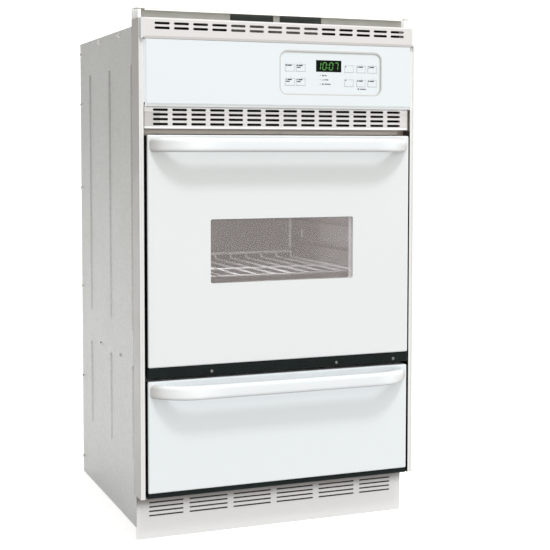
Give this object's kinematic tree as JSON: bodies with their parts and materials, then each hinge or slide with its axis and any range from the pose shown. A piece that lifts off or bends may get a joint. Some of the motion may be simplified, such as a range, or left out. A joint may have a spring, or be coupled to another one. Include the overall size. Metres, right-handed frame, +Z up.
{
  "type": "built-in gas wall oven",
  "caption": "Built-in gas wall oven with a drop-down windowed door, a lower broiler drawer, a keypad control panel, vent grilles and a toe panel, on a folded steel chassis.",
  "frame": {"origin": "on the floor plane, under the centre of the oven's overall box", "axes": "+X to the right seen from the front, +Y back into the cabinet, +Z up"},
  "size_m": [0.606, 0.6816, 1.073],
  "materials": {
    "white_enamel": "smooth baked white enamel, satin gloss",
    "white_bar": "white powder coat, satin",
    "black_trim": "black enamel, satin",
    "galvanised_steel": "galvanised sheet, faint spangle",
    "porcelain": "grey porcelain enamel with fine speckle",
    "glass_wool": "glass-fibre wool",
    "woven_gasket": "woven glass-fibre sleeve",
    "burner_steel": "aluminised steel tube",
    "cast_aluminium": "as-cast aluminium",
    "window_glass": "clear tempered glass",
    "keypad_film": "satin polyester overlay",
    "key_cap": "satin moulded cap",
    "display_black": "dark tinted window",
    "led_lens": "small lens",
    "circuit_board": "fibreglass board with lacquer",
    "hinge_steel": "zinc-plated pressed steel",
    "rack_chrome": "bright chrome-plated wire"
  },
  "bodies": {
    "chassis": {"bake_burner": "burner_steel", "broil_burner": "burner_steel", "burner_shelf": "galvanised_steel", "chassis_back": "galvanised_steel", "chassis_base": "galvanised_steel", "chassis_side_left": "galvanised_steel", "chassis_side_right": "galvanised_steel", "chassis_top": "galvanised_steel", "control_board": "circuit_board", "control_panel": "white_enamel", "display_window": "display_black", "drawer_rails": "hinge_steel", "front_frame": "white_enamel", "gas_manifold": "cast_aluminium", "gas_valve": "cast_aluminium", "hinge_receivers": "hinge_steel", "indicator_leds": "led_lens", "junction_box": "galvanised_steel", "keypad_overlay": "keypad_film", "latch_motor": "hinge_steel", "lower_grille": "white_enamel", "oven_bottom": "porcelain", "oven_insulation": "glass_wool", "oven_lamp": "window_glass", "oven_liner": "porcelain", "side_trim_left": "white_enamel", "side_trim_right": "white_enamel", "temperature_sensor": "burner_steel", "toe_panel": "white_enamel", "top_grille": "white_enamel", "vent_duct": "galvanised_steel", "vent_front_baffle": "galvanised_steel"},
    "door": {"door_outer_panel": "white_enamel", "door_bottom_trim": "black_trim", "door_inner_liner": "porcelain", "door_gasket": "woven_gasket", "door_window_outer": "window_glass", "door_window_frame": "black_trim", "door_window_inner": "window_glass", "door_insulation": "glass_wool", "door_handle": "white_bar", "door_screws": "hinge_steel", "door_hinge_arms": "hinge_steel"},
    "drawer": {"drawer_front": "white_enamel", "drawer_bottom_trim": "black_trim", "drawer_handle": "white_bar", "drawer_box": "hinge_steel", "drawer_slides": "hinge_steel"},
    "rack": {"oven_rack": "rack_chrome"},
    "latch": {"latch_hook": "hinge_steel"},
    "key_clock_cap": {"key_clock": "key_cap"},
    "key_stop_time_cap": {"key_stop_time": "key_cap"},
    "key_timer_cap": {"key_timer": "key_cap"},
    "key_start_time_cap": {"key_start_time": "key_cap"},
    "key_up_cap": {"key_up": "key_cap"},
    "key_down_cap": {"key_down": "key_cap"},
    "key_bake_cap": {"key_bake": "key_cap"},
    "key_clear_cap": {"key_clear": "key_cap"},
    "key_broil_cap": {"key_broil": "key_cap"},
    "key_clean_cap": {"key_clean": "key_cap"}
  },
  "joints": [
    {"name": "door_hinge", "type": "hinge", "parent": "chassis", "child": "door", "pos_m": [0, -0.27825, 0.352], "axis": [1, 0, 0], "range_deg": [0, 90]},
    {"name": "drawer_slide", "type": "slide", "parent": "chassis", "child": "drawer", "axis": [0, -1, 0], "range_m": [0, 0.34]},
    {"name": "rack_slide", "type": "slide", "parent": "chassis", "child": "rack", "axis": [0, -1, 0], "range_m": [0, 0.236]},
    {"name": "latch_swing", "type": "hinge", "parent": "chassis", "child": "latch", "pos_m": [0.03, -0.24825, 0.8], "axis": [0, 0, 1], "range_deg": [0, 28]},
    {"name": "key_clock_press", "type": "slide", "parent": "chassis", "child": "key_clock_cap", "axis": [0, 1, 0], "range_m": [0, 0.0006], "stiffness_N_per_m": 400},
    {"name": "key_stop_time_press", "type": "slide", "parent": "chassis", "child": "key_stop_time_cap", "axis": [0, 1, 0], "range_m": [0, 0.0006], "stiffness_N_per_m": 400},
    {"name": "key_timer_press", "type": "slide", "parent": "chassis", "child": "key_timer_cap", "axis": [0, 1, 0], "range_m": [0, 0.0006], "stiffness_N_per_m": 400},
    {"name": "key_start_time_press", "type": "slide", "parent": "chassis", "child": "key_start_time_cap", "axis": [0, 1, 0], "range_m": [0, 0.0006], "stiffness_N_per_m": 400},
    {"name": "key_up_press", "type": "slide", "parent": "chassis", "child": "key_up_cap", "axis": [0, 1, 0], "range_m": [0, 0.0006], "stiffness_N_per_m": 400},
    {"name": "key_down_press", "type": "slide", "parent": "chassis", "child": "key_down_cap", "axis": [0, 1, 0], "range_m": [0, 0.0006], "stiffness_N_per_m": 400},
    {"name": "key_bake_press", "type": "slide", "parent": "chassis", "child": "key_bake_cap", "axis": [0, 1, 0], "range_m": [0, 0.0006], "stiffness_N_per_m": 400},
    {"name": "key_clear_press", "type": "slide", "parent": "chassis", "child": "key_clear_cap", "axis": [0, 1, 0], "range_m": [0, 0.0006], "stiffness_N_per_m": 400},
    {"name": "key_broil_press", "type": "slide", "parent": "chassis", "child": "key_broil_cap", "axis": [0, 1, 0], "range_m": [0, 0.0006], "stiffness_N_per_m": 400},
    {"name": "key_clean_press", "type": "slide", "parent": "chassis", "child": "key_clean_cap", "axis": [0, 1, 0], "range_m": [0, 0.0006], "stiffness_N_per_m": 400}
  ],
  "couplings": [
    {"joint": "rack_slide", "follows": "door_hinge", "m_per_rad": 0.15}
  ]
}
